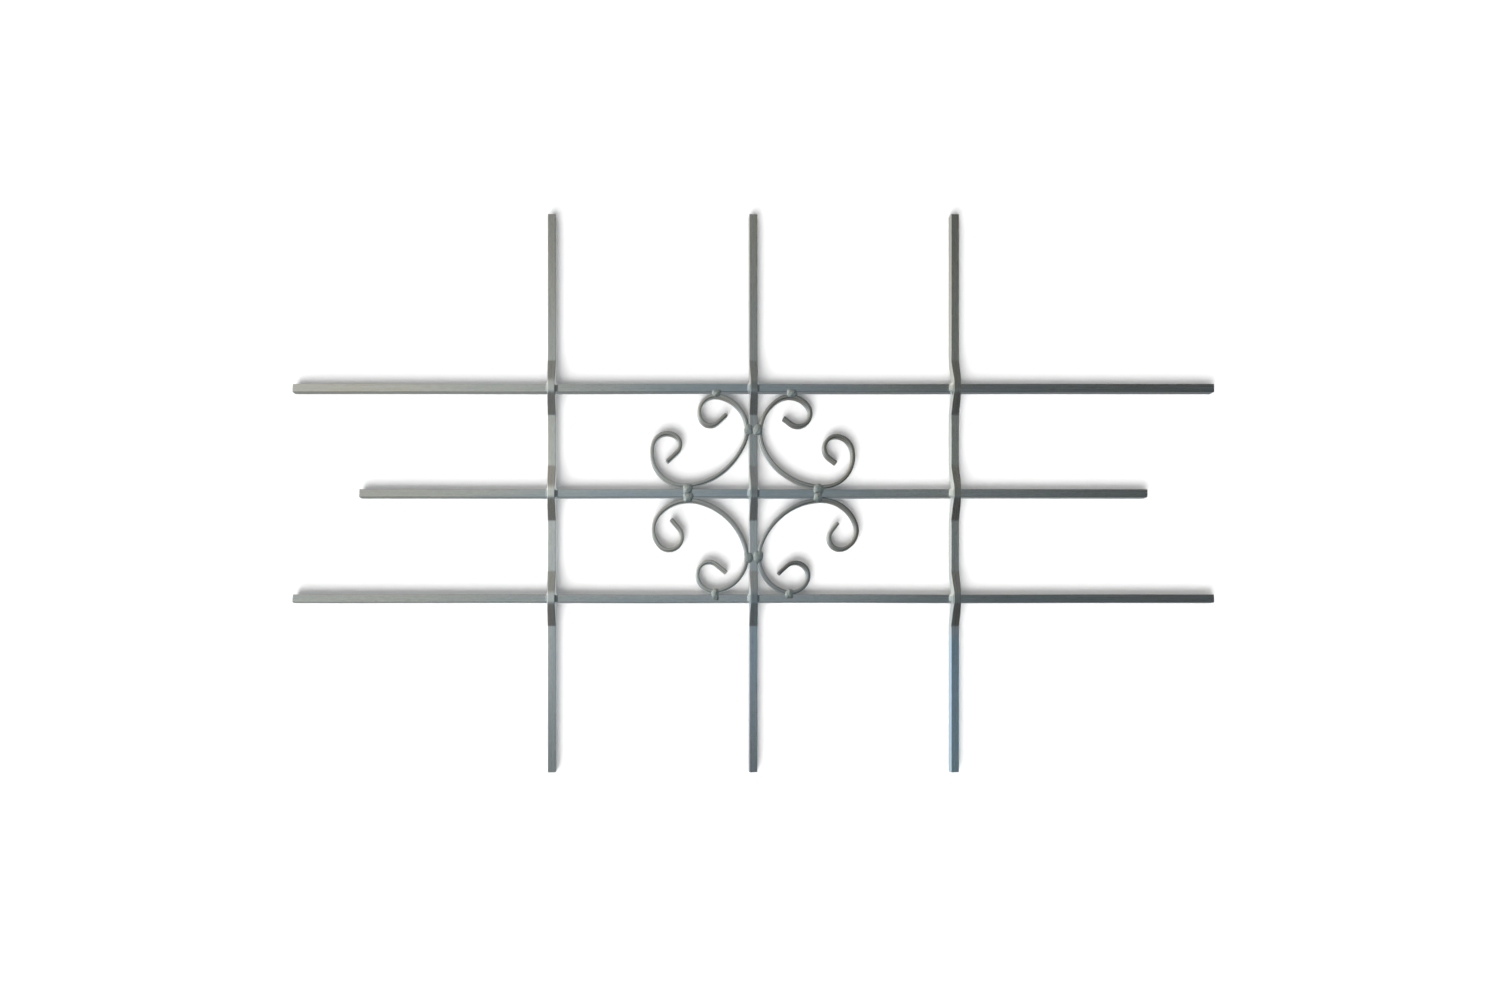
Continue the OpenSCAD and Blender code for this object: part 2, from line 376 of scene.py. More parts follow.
def plated_zinc(name, finish, tone):
    """Bright electroplated zinc with a thin clear passivate over drawn or rolled mild steel.

    The plating follows the fine lines that the die left along the bar, so the gloss is silky and drawn out
    lengthways. The passivate film varies in thickness, which tints the metal from straw to pale blue in
    patches a hand long, and handling has rubbed the edges a little brighter. The brightness and film
    attributes add painted reflection, highlight and shade along each piece to the plating's own tone and
    tint.
    """
    material, tree, out = new_material(name)
    run = add(tree, "ShaderNodeAttribute", attribute_name="run").outputs["Vector"]
    edge = add(tree, "ShaderNodeAttribute", attribute_name="edge").outputs["Fac"]
    # brightness and film carry the plating's tone and tint along each piece together with painted
    # reflection, highlight and shade
    bright = add(tree, "ShaderNodeAttribute", attribute_name="brightness").outputs["Fac"]
    # Passivate patches, about 160 mm by 16 mm
    patch = add(
        tree,
        "ShaderNodeTexNoise",
        {"Vector": stretched(tree, run, 160, 16), "Scale": 1.0, "Detail": 3.0, "Roughness": 0.55},
    ).outputs["Fac"]
    tints = (finish.zinc_warm, finish.zinc_grey, finish.zinc_blue)
    warm, grey, blue = ([c * tone for c in tint] for tint in tints)
    film = add(tree, "ShaderNodeAttribute", attribute_name="film").outputs["Fac"]
    film = add(
        tree, "ShaderNodeMath", {0: patch, 1: finish.patches, 2: film}, operation="MULTIPLY_ADD"
    ).outputs[0]
    film = add(tree, "ShaderNodeMath", {0: film, 1: finish.patches / 2}, operation="SUBTRACT").outputs[0]
    tint = add(
        tree,
        "ShaderNodeValToRGB",
        {"Fac": film},
        stops=[(0.0, warm), (0.45, grey), (0.55, grey), (1.0, blue)],
    ).outputs["Color"]
    # Die lines: real ones are about 0.05 mm apart, drawn here at 0.9 mm so that they show
    lines = add(
        tree,
        "ShaderNodeTexNoise",
        {"Vector": stretched(tree, run, 70, 0.9), "Scale": 1.0, "Detail": 4.0, "Roughness": 0.6},
    ).outputs["Fac"]
    # Cloudy mottle of the plating, about 9 mm by 2.5 mm
    mottle = add(
        tree,
        "ShaderNodeTexNoise",
        {"Vector": stretched(tree, run, 9, 2.5), "Scale": 1.0, "Detail": 3.0, "Roughness": 0.6},
    ).outputs["Fac"]
    line_tone = add(
        tree,
        "ShaderNodeMapRange",
        {"Value": lines, "From Min": 0.3, "From Max": 0.7, "To Min": 0.91, "To Max": 1.07},
    ).outputs["Result"]
    cloud_tone = add(
        tree,
        "ShaderNodeMapRange",
        {"Value": mottle, "From Min": 0.3, "From Max": 0.7, "To Min": 0.93, "To Max": 1.05},
    ).outputs["Result"]
    tones = add(tree, "ShaderNodeMath", {0: edge, 1: 0.10, 2: 1.0}, operation="MULTIPLY_ADD").outputs[0]
    for tone_of in (line_tone, cloud_tone, bright):
        tones = add(tree, "ShaderNodeMath", {0: tones, 1: tone_of}, operation="MULTIPLY").outputs[0]
    shade = add(
        tree, "ShaderNodeVectorMath", {0: tint, "Scale": tones}, operation="SCALE"
    ).outputs["Vector"]
    # The gloss follows the die lines and the patches together
    dull = add(tree, "ShaderNodeMath", {0: lines, 1: patch}, operation="ADD").outputs[0]
    rough = add(
        tree,
        "ShaderNodeMapRange",
        {
            "Value": dull,
            "From Min": 0.7,
            "From Max": 1.3,
            "To Min": finish.roughness - 0.06,
            "To Max": finish.roughness + 0.09,
        },
    ).outputs["Result"]
    bump = add(
        tree, "ShaderNodeBump", {"Height": lines, "Strength": 1.0, "Distance": 0.00003}
    ).outputs["Normal"]
    bump = add(
        tree, "ShaderNodeBump", {"Height": mottle, "Strength": 1.0, "Distance": 0.00005, "Normal": bump}
    ).outputs["Normal"]
    shader = add(
        tree,
        "ShaderNodeBsdfPrincipled",
        {"Base Color": shade, "Metallic": 1.0, "Roughness": rough, "Normal": bump},
    )
    tree.links.new(shader.outputs["BSDF"], out.inputs["Surface"])
    return material


def plated_weld(finish):
    """Gas-shielded arc weld metal, plated with the rest of the grille.

    It is lumpy at about 2 mm, with paler crests and darker hollows, and mostly duller than the drawn bars
    between glossy spots about 1.6 mm apart.
    """
    material, tree, out = new_material("Zinc-plated weld metal")
    place = add(tree, "ShaderNodeTexCoord").outputs["Object"]
    lumps = add(
        tree,
        "ShaderNodeTexNoise",
        {"Vector": stretched(tree, place, 2.2, 2.2), "Scale": 1.0, "Detail": 3.0, "Roughness": 0.55},
    ).outputs["Fac"]
    specks = add(
        tree, "ShaderNodeTexVoronoi", {"Vector": stretched(tree, place, 1.6, 1.6), "Scale": 1.0}
    ).outputs["Distance"]
    shade = add(
        tree,
        "ShaderNodeValToRGB",
        {"Fac": lumps},
        stops=[
            (place_of, [min(1, c * tone) for c in finish.weld])
            for place_of, tone in ((0.3, 0.80), (0.5, 0.97), (0.66, 1.12))
        ],
    ).outputs["Color"]
    rough = add(
        tree,
        "ShaderNodeMapRange",
        {"Value": specks, "From Min": 0.1, "From Max": 0.7, "To Min": 0.22, "To Max": 0.46},
    ).outputs["Result"]
    bump = add(
        tree, "ShaderNodeBump", {"Height": lumps, "Strength": 1.0, "Distance": 0.0003}
    ).outputs["Normal"]
    bump = add(
        tree, "ShaderNodeBump", {"Height": specks, "Strength": 0.6, "Distance": 0.0001, "Normal": bump}
    ).outputs["Normal"]
    shader = add(
        tree,
        "ShaderNodeBsdfPrincipled",
        {"Base Color": shade, "Metallic": 1.0, "Roughness": rough, "Normal": bump},
    )
    tree.links.new(shader.outputs["BSDF"], out.inputs["Surface"])
    return material


def matt_paint(studio):
    """Matt emulsion on the studio's wall and floor, rolled on, so it has a faint stipple.

    It shows from its front only, so it never hides the grille.
    """
    material, tree, out = new_material("Matt white paint")
    place = add(tree, "ShaderNodeTexCoord").outputs["Object"]
    roller = add(
        tree, "ShaderNodeTexNoise", {"Vector": stretched(tree, place, 6, 6), "Scale": 1.0, "Detail": 2.0}
    ).outputs["Fac"]
    bump = add(
        tree, "ShaderNodeBump", {"Height": roller, "Strength": 0.3, "Distance": 0.0002}
    ).outputs["Normal"]
    paint = add(
        tree, "ShaderNodeBsdfDiffuse", {"Color": (*studio.wall, 1.0), "Roughness": 0.5, "Normal": bump}
    ).outputs["BSDF"]
    clear = add(tree, "ShaderNodeBsdfTransparent").outputs["BSDF"]
    behind = add(tree, "ShaderNodeNewGeometry").outputs["Backfacing"]
    mixed = add(tree, "ShaderNodeMixShader", {0: behind, 1: paint, 2: clear}).outputs["Shader"]
    tree.links.new(mixed, out.inputs["Surface"])
    return material


# ---- Pieces -----------------------------------------------------------------


class GRILLE_OT_level_bars(Operator):
    """Lay the three straight square bars"""

    bl_idname = "grille.level_bars"
    bl_label = "Level bars"

    # Broad changes of tone along each bar, partly the plating and partly painted reflection of the room's
    # light and shade: distance from the middle in mm, brightness, and film from 0 for straw through 0.5 for
    # plain to 1 for blue
    TONE_AND_PAINTED_LIGHT = {
        "top_bar": (
            (-550, 1.05, 0.3), (-300, 1.15, 0.4), (-200, 1.0, 0.6), (50, 1.0, 0.7), (300, 0.85, 0.6)
        ),
        "middle_bar": (
            (-450, 0.9, 0.5), (-200, 1.1, 0.6), (50, 1.05, 0.7), (250, 1.15, 0.4), (450, 1.0, 0.6)
        ),
        "bottom_bar": (
            (-550, 0.9, 0.6), (-200, 0.95, 0.6), (100, 1.15, 0.5), (250, 0.95, 0.6), (550, 0.9, 0.5)
        ),
    }
    WANDER = 0.00025  # how far a hand-straightened bar strays up and down
    WANDER_LENGTH = 0.41
    RING_STEP = 0.005
    # Lean of the cut faces of each bar, as a share of its height, and of all of them through the bar
    CUT_LEAN = {"top_bar": 0.05, "middle_bar": 0.02, "bottom_bar": 0.06}
    CUT_LEAN_THROUGH = 0.03

    def execute(self, context):
        shape, finish = context.scene.grille_shape, context.scene.grille_finish
        material = plated_zinc("Zinc-plated drawn steel, level bars", finish, 1.0)
        for number, node in enumerate(self.TONE_AND_PAINTED_LIGHT):
            low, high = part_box(node)
            side = high[2] - low[2]
            outline, rounded = section(side, side, shape.bar_edge)
            s, drawn = with_ends(np.arange(0, high[0] - low[0] + 1e-6, self.RING_STEP), shape.end_bevel)
            s = s * (high[0] - low[0]) / s[-1]
            # A wave that fades out at both ends
            wave = np.sin(2 * np.pi * s / self.WANDER_LENGTH + 2.1 * number)
            height = (low[2] + high[2]) / 2 + self.WANDER * wave * np.sin(np.pi * s / s[-1])
            middle = np.stack([low[0] + s, np.full(len(s), side / 2), height], axis=-1)
            rings, laid = bar_rings(
                middle, np.array([[0, 1, 0]]), np.array([[0, 0, 1]]), outline, drawn, shape.end_bevel
            )
            rings = sheared(rings, (1, 0, 0), ((2, self.CUT_LEAN[node]), (1, self.CUT_LEAN_THROUGH)))
            plating = plated(middle[:, 0], self.TONE_AND_PAINTED_LIGHT[node])
            piece = skin(node + "_steel", (rings, along(s, laid, 3.0 * number), rounded, plating))
            finish_piece(piece, node, material)
        return {"FINISHED"}


class GRILLE_OT_uprights(Operator):
    """Bend the three uprights over the level bars"""

    bl_idname = "grille.uprights"
    bl_label = "Cranked uprights"

    # Broad changes of tone, as on the level bars, partly the plating and partly painted reflection, by
    # height above the middle
    TONE_AND_PAINTED_LIGHT = {
        "left_upright": (
            (-345, 0.8, 0.5), (-200, 1.1, 0.5), (0, 1.35, 0.4), (200, 1.05, 0.35), (345, 0.8, 0.35)
        ),
        "centre_upright": (
            (-345, 0.8, 0.6), (-200, 1.1, 0.8), (-65, 1.15, 0.55), (65, 0.95, 0.5), (345, 0.85, 0.1)
        ),
        "right_upright": (
            (-345, 1.6, 1.0), (-190, 1.4, 1.0), (-150, 1.1, 0.3), (0, 1.2, 0.25), (345, 0.85, 0.2)
        ),
    }
    # Painted light and shade: brightness of the front over a level bar and of the slopes of the crank
    CRANK_PAINTED_LIGHT = {"left_upright": (1.1, 0.8), "centre_upright": (0.6, 1.0), "right_upright": (0.7, 1.0)}
    FLANK_PAINTED_HIGHLIGHT = 1.4  # painted highlight on the flared flanks
    RING_STEP = 0.00125
    GENTLE = 0.35  # how much an outer bend was squeezed, as a share of an inner one
    SQUEEZE_REACH = 0.0055  # length over which a squeeze dies away
    OVER_REACH = 0.62  # half height of the hammered stretch over a level bar, in crank flats
    PINCH = 0.04  # how much the front narrows there
    # Lean of the cut faces of each bar, as a share of its width, and of all of them through the bar
    CUT_LEAN = {"left_upright": 0.02, "centre_upright": 0.05, "right_upright": 0.04}
    CUT_LEAN_THROUGH = 0.04

    def execute(self, context):
        shape, finish = context.scene.grille_shape, context.scene.grille_finish
        material = plated_zinc("Zinc-plated drawn steel, uprights", finish, 1.0)
        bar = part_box("middle_bar")[1][1]
        pitch = (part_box("top_bar")[1][2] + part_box("top_bar")[0][2]) / 2
        flat, run, radius = shape.crank_flat, shape.crank_run, shape.crank_radius
        # Two equal bends and the straight between them carry the bar forward by its own thickness
        span = np.hypot(run, bar - 2 * radius)
        turn = np.degrees(np.arcsin(2 * radius / span) + np.arctan2(bar - 2 * radius, run))
        bend = radius * np.radians(turn)
        slope = (run - 2 * radius * np.sin(np.radians(turn))) / np.cos(np.radians(turn))
        forwards = [(bend, turn), (slope, 0), (bend, -turn)]
        crank = [*forwards, (flat, 0), *forwards[::-1]]
        for number, node in enumerate(self.TONE_AND_PAINTED_LIGHT):
            low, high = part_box(node)
            free = high[2] - pitch - flat / 2 - run
            between = pitch - flat - 2 * run
            stretches = [(free, 0), *crank, (between, 0), *crank, (between, 0), *crank, (free, 0)]
            s, place, heading, curve = bent_line(stretches, 0.0, self.RING_STEP)
            # The inner side of a bend spreads and its outer side draws in
            squeeze = np.where(curve > 0, self.GENTLE * curve, curve)
            squeeze = eased(squeeze, self.SQUEEZE_REACH / (s[1] - s[0]))
            full, drawn = with_ends(s, shape.end_bevel)
            up, forward, heading, squeeze = (
                np.interp(full, s, v) for v in (place[:, 0], place[:, 1], heading, squeeze)
            )
            up = low[2] + up * (high[2] - low[2]) / place[-1, 0]
            forward = forward * bar / forward.max()
            centre = np.full(len(full), (low[0] + high[0]) / 2)
            middle = np.stack([centre, bar / 2 - forward, up], axis=-1)
            across = np.array([[1, 0, 0]])
            through = np.stack([np.zeros(len(full)), -np.cos(heading), -np.sin(heading)], axis=-1)
            outline, rounded = section(bar, bar, shape.bar_edge)
            outline = np.broadcast_to(outline, (len(full),) + outline.shape).copy()
            spread = 2.0 * shape.crank_bulge * squeeze[:, None] * outline[..., 1]
            # Over a level bar the flanks flare towards the back, as the square of the depth, where the bar
            # was hammered down on it. over is 1 there and falls to 0 on either side
            height = up[:, None]
            from_level = np.abs(height - np.round(height / pitch) * pitch)
            over = np.exp(-((from_level / (self.OVER_REACH * flat)) ** 4)) * (np.abs(height) < 1.5 * pitch)
            flare = 2 * shape.crank_flare / bar * over * (0.5 - outline[..., 1] / bar).clip(0, 1) ** 2
            outline[..., 0] *= 1 + spread + flare - self.PINCH * over
            rings, laid = bar_rings(middle, across, through, outline, drawn, shape.end_bevel)
            rings = sheared(rings, (0, 0, 1), ((0, self.CUT_LEAN[node]), (1, self.CUT_LEAN_THROUGH)))
            plating = np.tile(plated(middle[:, 2], self.TONE_AND_PAINTED_LIGHT[node]), (1, laid.shape[1], 1))
            # Painted light and shade over the level bar and on the slopes of the crank
            front, slopes = self.CRANK_PAINTED_LIGHT[node]
            sloping = (np.abs(np.sin(heading)) / np.abs(np.sin(heading)).max())[:, None]
            plating[..., 0] *= (1 + (front - 1) * over) * (1 + (slopes - 1) * sloping)
            # All but the front of the hammered stretch, which gets a painted highlight
            flank = over * (laid[..., 1] < 0.3 * bar)
            plating[..., 0] += flank * (self.FLANK_PAINTED_HIGHLIGHT - plating[..., 0])
            straight = along(full, laid, 12.0 + 3.0 * number)
            piece = skin(node + "_steel", (rings, straight, rounded, plating))
            finish_piece(piece, node, material)
        return {"FINISHED"}


class GRILLE_OT_scrolls(Operator):
    """Roll the four C-scrolls"""

    bl_idname = "grille.scrolls"
    bl_label = "Scrolls"

    THICKNESS = 0.0049
    RING_STEP = 0.0009
    # Each was bent by hand, so each is a little different. For each, in the quarter to the upper right:
    # the middle of the back across and up in mm and the degrees that it leans. Then, for the curl at the
    # side and for the curl at the end, (radius in mm, degrees turned) from the back to the eye, and the
    # straight tip in mm
    BENDS = {
        "upper_left_scroll": (
            (33, 31, 2.5),
            ((80, 40), (40, 110), (18, 110), (13, 100), 17),
            ((90, 25), (42, 105), (20, 125), (13, 105), 15),
        ),
        "upper_right_scroll": (
            (31.5, 30, 3),
            ((85, 40), (37, 110), (21, 60), (15, 155), 11),
            ((75, 25), (48, 80), (27, 95), (15, 155), 12),
        ),
        "lower_left_scroll": (
            (30.5, 30.5, 0.5),
            ((80, 30), (50, 60), (30, 85), (16, 180), 15),
            ((80, 30), (43, 100), (20, 115), (14, 110), 16),
        ),
        "lower_right_scroll": (
            (32.5, 29.5, 2),
            ((80, 40), (44, 75), (24, 85), (14, 150), 13),
            ((90, 25), (45, 95), (23, 90), (16, 150), 14),
        ),
    }
    # Broad changes of tone, as on the level bars, partly the plating and partly painted highlight and
    # shade, by the distance along the scroll from the middle of its back, less than 0 on the way to the
    # side curl's eye
    TONE_AND_PAINTED_LIGHT = {
        "upper_left_scroll": (
            (-200, 0.9, 0.1), (-100, 1.3, 0.3), (50, 0.95, 0.4), (150, 1.3, 0.1), (200, 0.9, 0.1)
        ),
        "upper_right_scroll": (
            (-200, 0.9, 0.1), (-120, 0.8, 0.0), (20, 1.35, 0.3), (90, 0.9, 0.2), (200, 0.8, 0.2)
        ),
        "lower_left_scroll": (
            (-200, 1.1, 0.1), (-100, 1.3, 0.2), (50, 1.0, 0.3), (130, 1.35, 0.4), (200, 1.35, 0.2)
        ),
        "lower_right_scroll": (
            (-200, 1.3, 0.3), (-120, 0.7, 0.1), (50, 1.25, 0.4), (120, 1.0, 0.6), (200, 0.6, 0.2)
        ),
    }

    def execute(self, context):
        shape, finish = context.scene.grille_shape, context.scene.grille_finish
        material = plated_zinc("Zinc-plated rolled flat, scrolls", finish, 0.84)
        for number, (node, (back, *curls)) in enumerate(self.BENDS.items()):
            low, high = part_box(node)
            side, rise = (1 if high[0] > 0 else -1), (1 if high[2] > 0 else -1)
            near, far = (
                [(radius / 1000 * np.radians(turn), -turn) for radius, turn in bends] + [(tip / 1000, 0)]
                for *bends, tip in curls
            )
            turned = -sum(turn for _, turn in near)
            s, line, heading, _ = bent_line(near[::-1] + far, 135 + back[2] + turned, self.RING_STEP)
            at_back = sum(stretch for stretch, _ in near)
            line = line + np.array([back[i] / 1000 - np.interp(at_back, s, line[:, i]) for i in (0, 1)])
            full, drawn = with_ends(s, shape.end_bevel)
            across_at, up_at = (np.interp(full, s, line[:, i]) for i in (0, 1))
            turn = np.interp(full, s, heading)
            depth = np.full(len(full), (low[1] + high[1]) / 2)
            middle = np.stack([side * across_at, depth, rise * up_at], axis=-1)
            across = np.stack([-side * np.sin(turn), np.zeros(len(full)), rise * np.cos(turn)], axis=-1)
            outline, rounded = section(self.THICKNESS, high[1] - low[1], shape.scroll_edge)
            rings, laid = bar_rings(middle, across, np.array([[0, 1, 0]]), outline, drawn, shape.end_bevel)
            plating = plated(full - at_back, self.TONE_AND_PAINTED_LIGHT[node])
            straight = along(full, laid, 24.0 + 3.0 * number)
            piece = skin(node + "_steel", (rings, straight, rounded, plating))
            finish_piece(piece, node, material)
        return {"FINISHED"}


def tack_shell(centre, half, height, plug, seed):
    """A tack weld: a soft dome over an uneven oval, on a plug that fills the gap between the bars.

    The outline is a squarish oval whose radius swings by a few waves round it. Height falls from the middle
    to the rim as a power of the distance, with shallow ripples where the weld pool froze, and the wall then
    goes back to the depth plug, drawn in a little.
    """
    around, square, drawn_in = 40, 2.8, 0.96
    ripple_height, ripple_count = 0.06, 9
    rng = np.random.default_rng(seed)
    angle = np.linspace(0, 2 * np.pi, around, endpoint=False)
    out = np.linspace(0.04, 1, 14)[:, None]
    waves = sum(
        size * np.cos(count * angle + rng.uniform(0, 2 * np.pi))
        for count, size in ((2, 0.05), (3, 0.06), (5, 0.03))
    )
    oval = (np.abs(np.cos(angle)) ** square + np.abs(np.sin(angle)) ** square) ** (-1 / square)
    oval = oval * (1 + waves)
    across, up = half[0] * oval * np.cos(angle) * out, half[1] * oval * np.sin(angle) * out
    lean = rng.uniform(-0.18, 0.18, 2)
    travel = rng.uniform(0, 2 * np.pi)
    ahead = (across * np.cos(travel) + up * np.sin(travel)) / max(half)
    ripple = ripple_height * np.cos(ripple_count * ahead + 2 * out)
    swell = (1 - out**2.4) ** 0.9 * (1 + ripple + lean[0] * across / half[0] + lean[1] * up / half[1])
    dome = np.stack([centre[0] + across, -height * np.clip(swell, 0, 1.12), centre[1] + up], axis=-1)
    back = np.stack(
        [centre[0] + drawn_in * across[-1], np.full(around, plug), centre[1] + drawn_in * up[-1]], axis=-1
    )
    rings = np.concatenate([dome, back[None]])
    return rings, rings.copy(), 0.0, (1.0, 0.5)


class GRILLE_OT_tacks(Operator):
    """Place the twelve tack welds between scrolls and bars"""

    bl_idname = "grille.tacks"
    bl_label = "Tack welds"

    FIRST_SEED = 5
    # For each weld: its middle across and up from the middle of the grille and its half sizes in mm, its
    # share of the tack height, and how deep it goes behind the front of the level bars in mm
    PLACES = {
        "upper_left_tack_top_bar": (-45.5, 123.5, 5.5, 4.5, 1.0, 4),
        "upper_left_tack_upright": (-6, 78.5, 5.5, 6, 0.6, 1),
        "upper_left_tack_middle_bar": (-81, 5, 6, 6.5, 1.0, 1),
        "upper_right_tack_top_bar": (47.5, 123.5, 6.5, 5, 0.8, 4),
        "upper_right_tack_upright": (5.5, 78, 5.5, 7, 0.7, 1),
        "upper_right_tack_middle_bar": (80.5, 5, 6, 6.5, 0.9, 1),
        "lower_left_tack_bottom_bar": (-47, -125, 4.5, 7.5, 1.0, 2),
        "lower_left_tack_upright": (-6, -79.5, 5.5, 6.5, 0.65, 1),
        "lower_left_tack_middle_bar": (-80.5, -5, 6, 6.5, 0.9, 1),
        "lower_right_tack_bottom_bar": (44.5, -124.5, 5, 6, 0.9, 2),
        "lower_right_tack_upright": (6, -78.5, 6, 7, 0.7, 1),
        "lower_right_tack_middle_bar": (80, -5, 5.5, 6, 0.95, 1),
    }

    def execute(self, context):
        shape, finish = context.scene.grille_shape, context.scene.grille_finish
        material = plated_weld(finish)
        for seed, (node, (*sizes, share, plug)) in enumerate(self.PLACES.items(), self.FIRST_SEED):
            x, z, half_x, half_z = (size / 1000 for size in sizes)
            shell = tack_shell((x, z), (half_x, half_z), share * shape.tack_height, plug / 1000, seed)
            finish_piece(skin(node + "_bead", shell, smooth=60.0), node, material)
        return {"FINISHED"}


def bead_shell(low, high, seed):
    """A weld bead along X that fills the box from low to high.

    Round a straight middle line the radius follows a blunt oval from end to end, with a shallow ripple for
    each step of the torch, strongest at the front and the back of the bead.
    """
    steps, ripple, bluntness = 6, 0.04, 3.5
    rng = np.random.default_rng(seed)
    t = np.linspace(0, 1, 30)[:, None]
    angle = np.linspace(0, 2 * np.pi, 24, endpoint=False)
    middle, half = (low + high) / 2, (high - low) / 2
    blunt = (1 - np.abs(2 * t - 1) ** bluntness).clip(0.02) ** 0.5
    wave = np.cos(2 * np.pi * steps * t + rng.uniform(0, 6)) * np.cos(angle)
    radius = blunt * (1 - ripple + ripple * wave)
    rings = np.stack(
        [
            np.broadcast_to(middle[0] + half[0] * (2 * t - 1), radius.shape),
            middle[1] + half[1] * radius * np.cos(angle),
            middle[2] + half[2] * radius * np.sin(angle),
        ],
        axis=-1,
    )
    return rings, rings.copy(), 0.0, (1.0, 0.5)


class GRILLE_OT_crossing_welds(Operator):
    """Place the pairs of weld beads behind the nine crossings"""

    bl_idname = "grille.crossing_welds"
    bl_label = "Crossing welds"

    FIRST_SEED = 40
    # How far a bead goes into the level bar and into the upright, as shares of its reach away from the bar
    INTO_BAR = 0.35
    INTO_UPRIGHT = 0.25

    def execute(self, context):
        material = plated_weld(context.scene.grille_finish)
        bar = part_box("middle_bar")[1][1]
        seed = self.FIRST_SEED
        for row in ("top", "middle", "bottom"):
            for column in ("left", "centre", "right"):
                node = f"{row}_{column}_crossing_weld"
                low, high = (np.array(corner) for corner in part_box(node))
                level = (low[2] + high[2]) / 2
                reach = (high[2] - low[2] - bar) / 2
                shells = []
                for side in (-1, 1):
                    edge = level + side * bar / 2
                    bounds = np.sort([edge - side * self.INTO_BAR * reach, edge + side * reach])
                    first = np.array([low[0], -self.INTO_UPRIGHT * reach, bounds[0]])
                    last = np.array([high[0], high[1], bounds[1]])
                    shells.append(bead_shell(first, last, seed))
                    seed += 1
                finish_piece(skin(node + "_bead", *shells, smooth=60.0), node, material)
        return {"FINISHED"}


# ---- Studio -----------------------------------------------------------------


def studio_sweep(studio):
    """A wall behind the grille that curves into a floor below it.

    Its profile is a straight, a quarter circle and a straight, drawn across X.
    """
    wall = CAD_BOX[1][1] + studio.wall_gap
    top, floor, front = 2.6, -0.78, -3.2
    bend, half_width, columns = 0.10, 3.6, 5
    turn = np.linspace(0, np.pi / 2, 13)
    profile = np.concatenate(
        [
            [[wall, top]],
            np.stack([wall - bend * (1 - np.cos(turn)), floor + bend * (1 - np.sin(turn))], axis=-1),
            [[front, floor]],
        ]
    )
    x, y = np.meshgrid(np.linspace(-half_width, half_width, columns), profile[:, 0])
    z = np.broadcast_to(profile[:, 1:], y.shape)
    points = np.stack([x, y, z], axis=-1).reshape(-1, 3)
    i, j = np.meshgrid(np.arange(len(profile) - 1), np.arange(columns - 1), indexing="ij")
    a = (i * columns + j).ravel()
    mesh = bpy.data.meshes.new("studio_sweep")
    quads = np.stack([a, a + columns, a + columns + 1, a + 1], axis=-1)
    mesh.from_pydata(points, [], quads.tolist())
    mesh.shade_smooth()
    sweep = bpy.data.objects.new("studio_sweep", mesh)
    bpy.context.collection.objects.link(sweep)
    mesh.materials.append(matt_paint(studio))
    sweep.visible_glossy = False  # the metal mirrors the room, whichever side it is seen from
    sweep.visible_shadow = False  # the light may stand lower than the floor


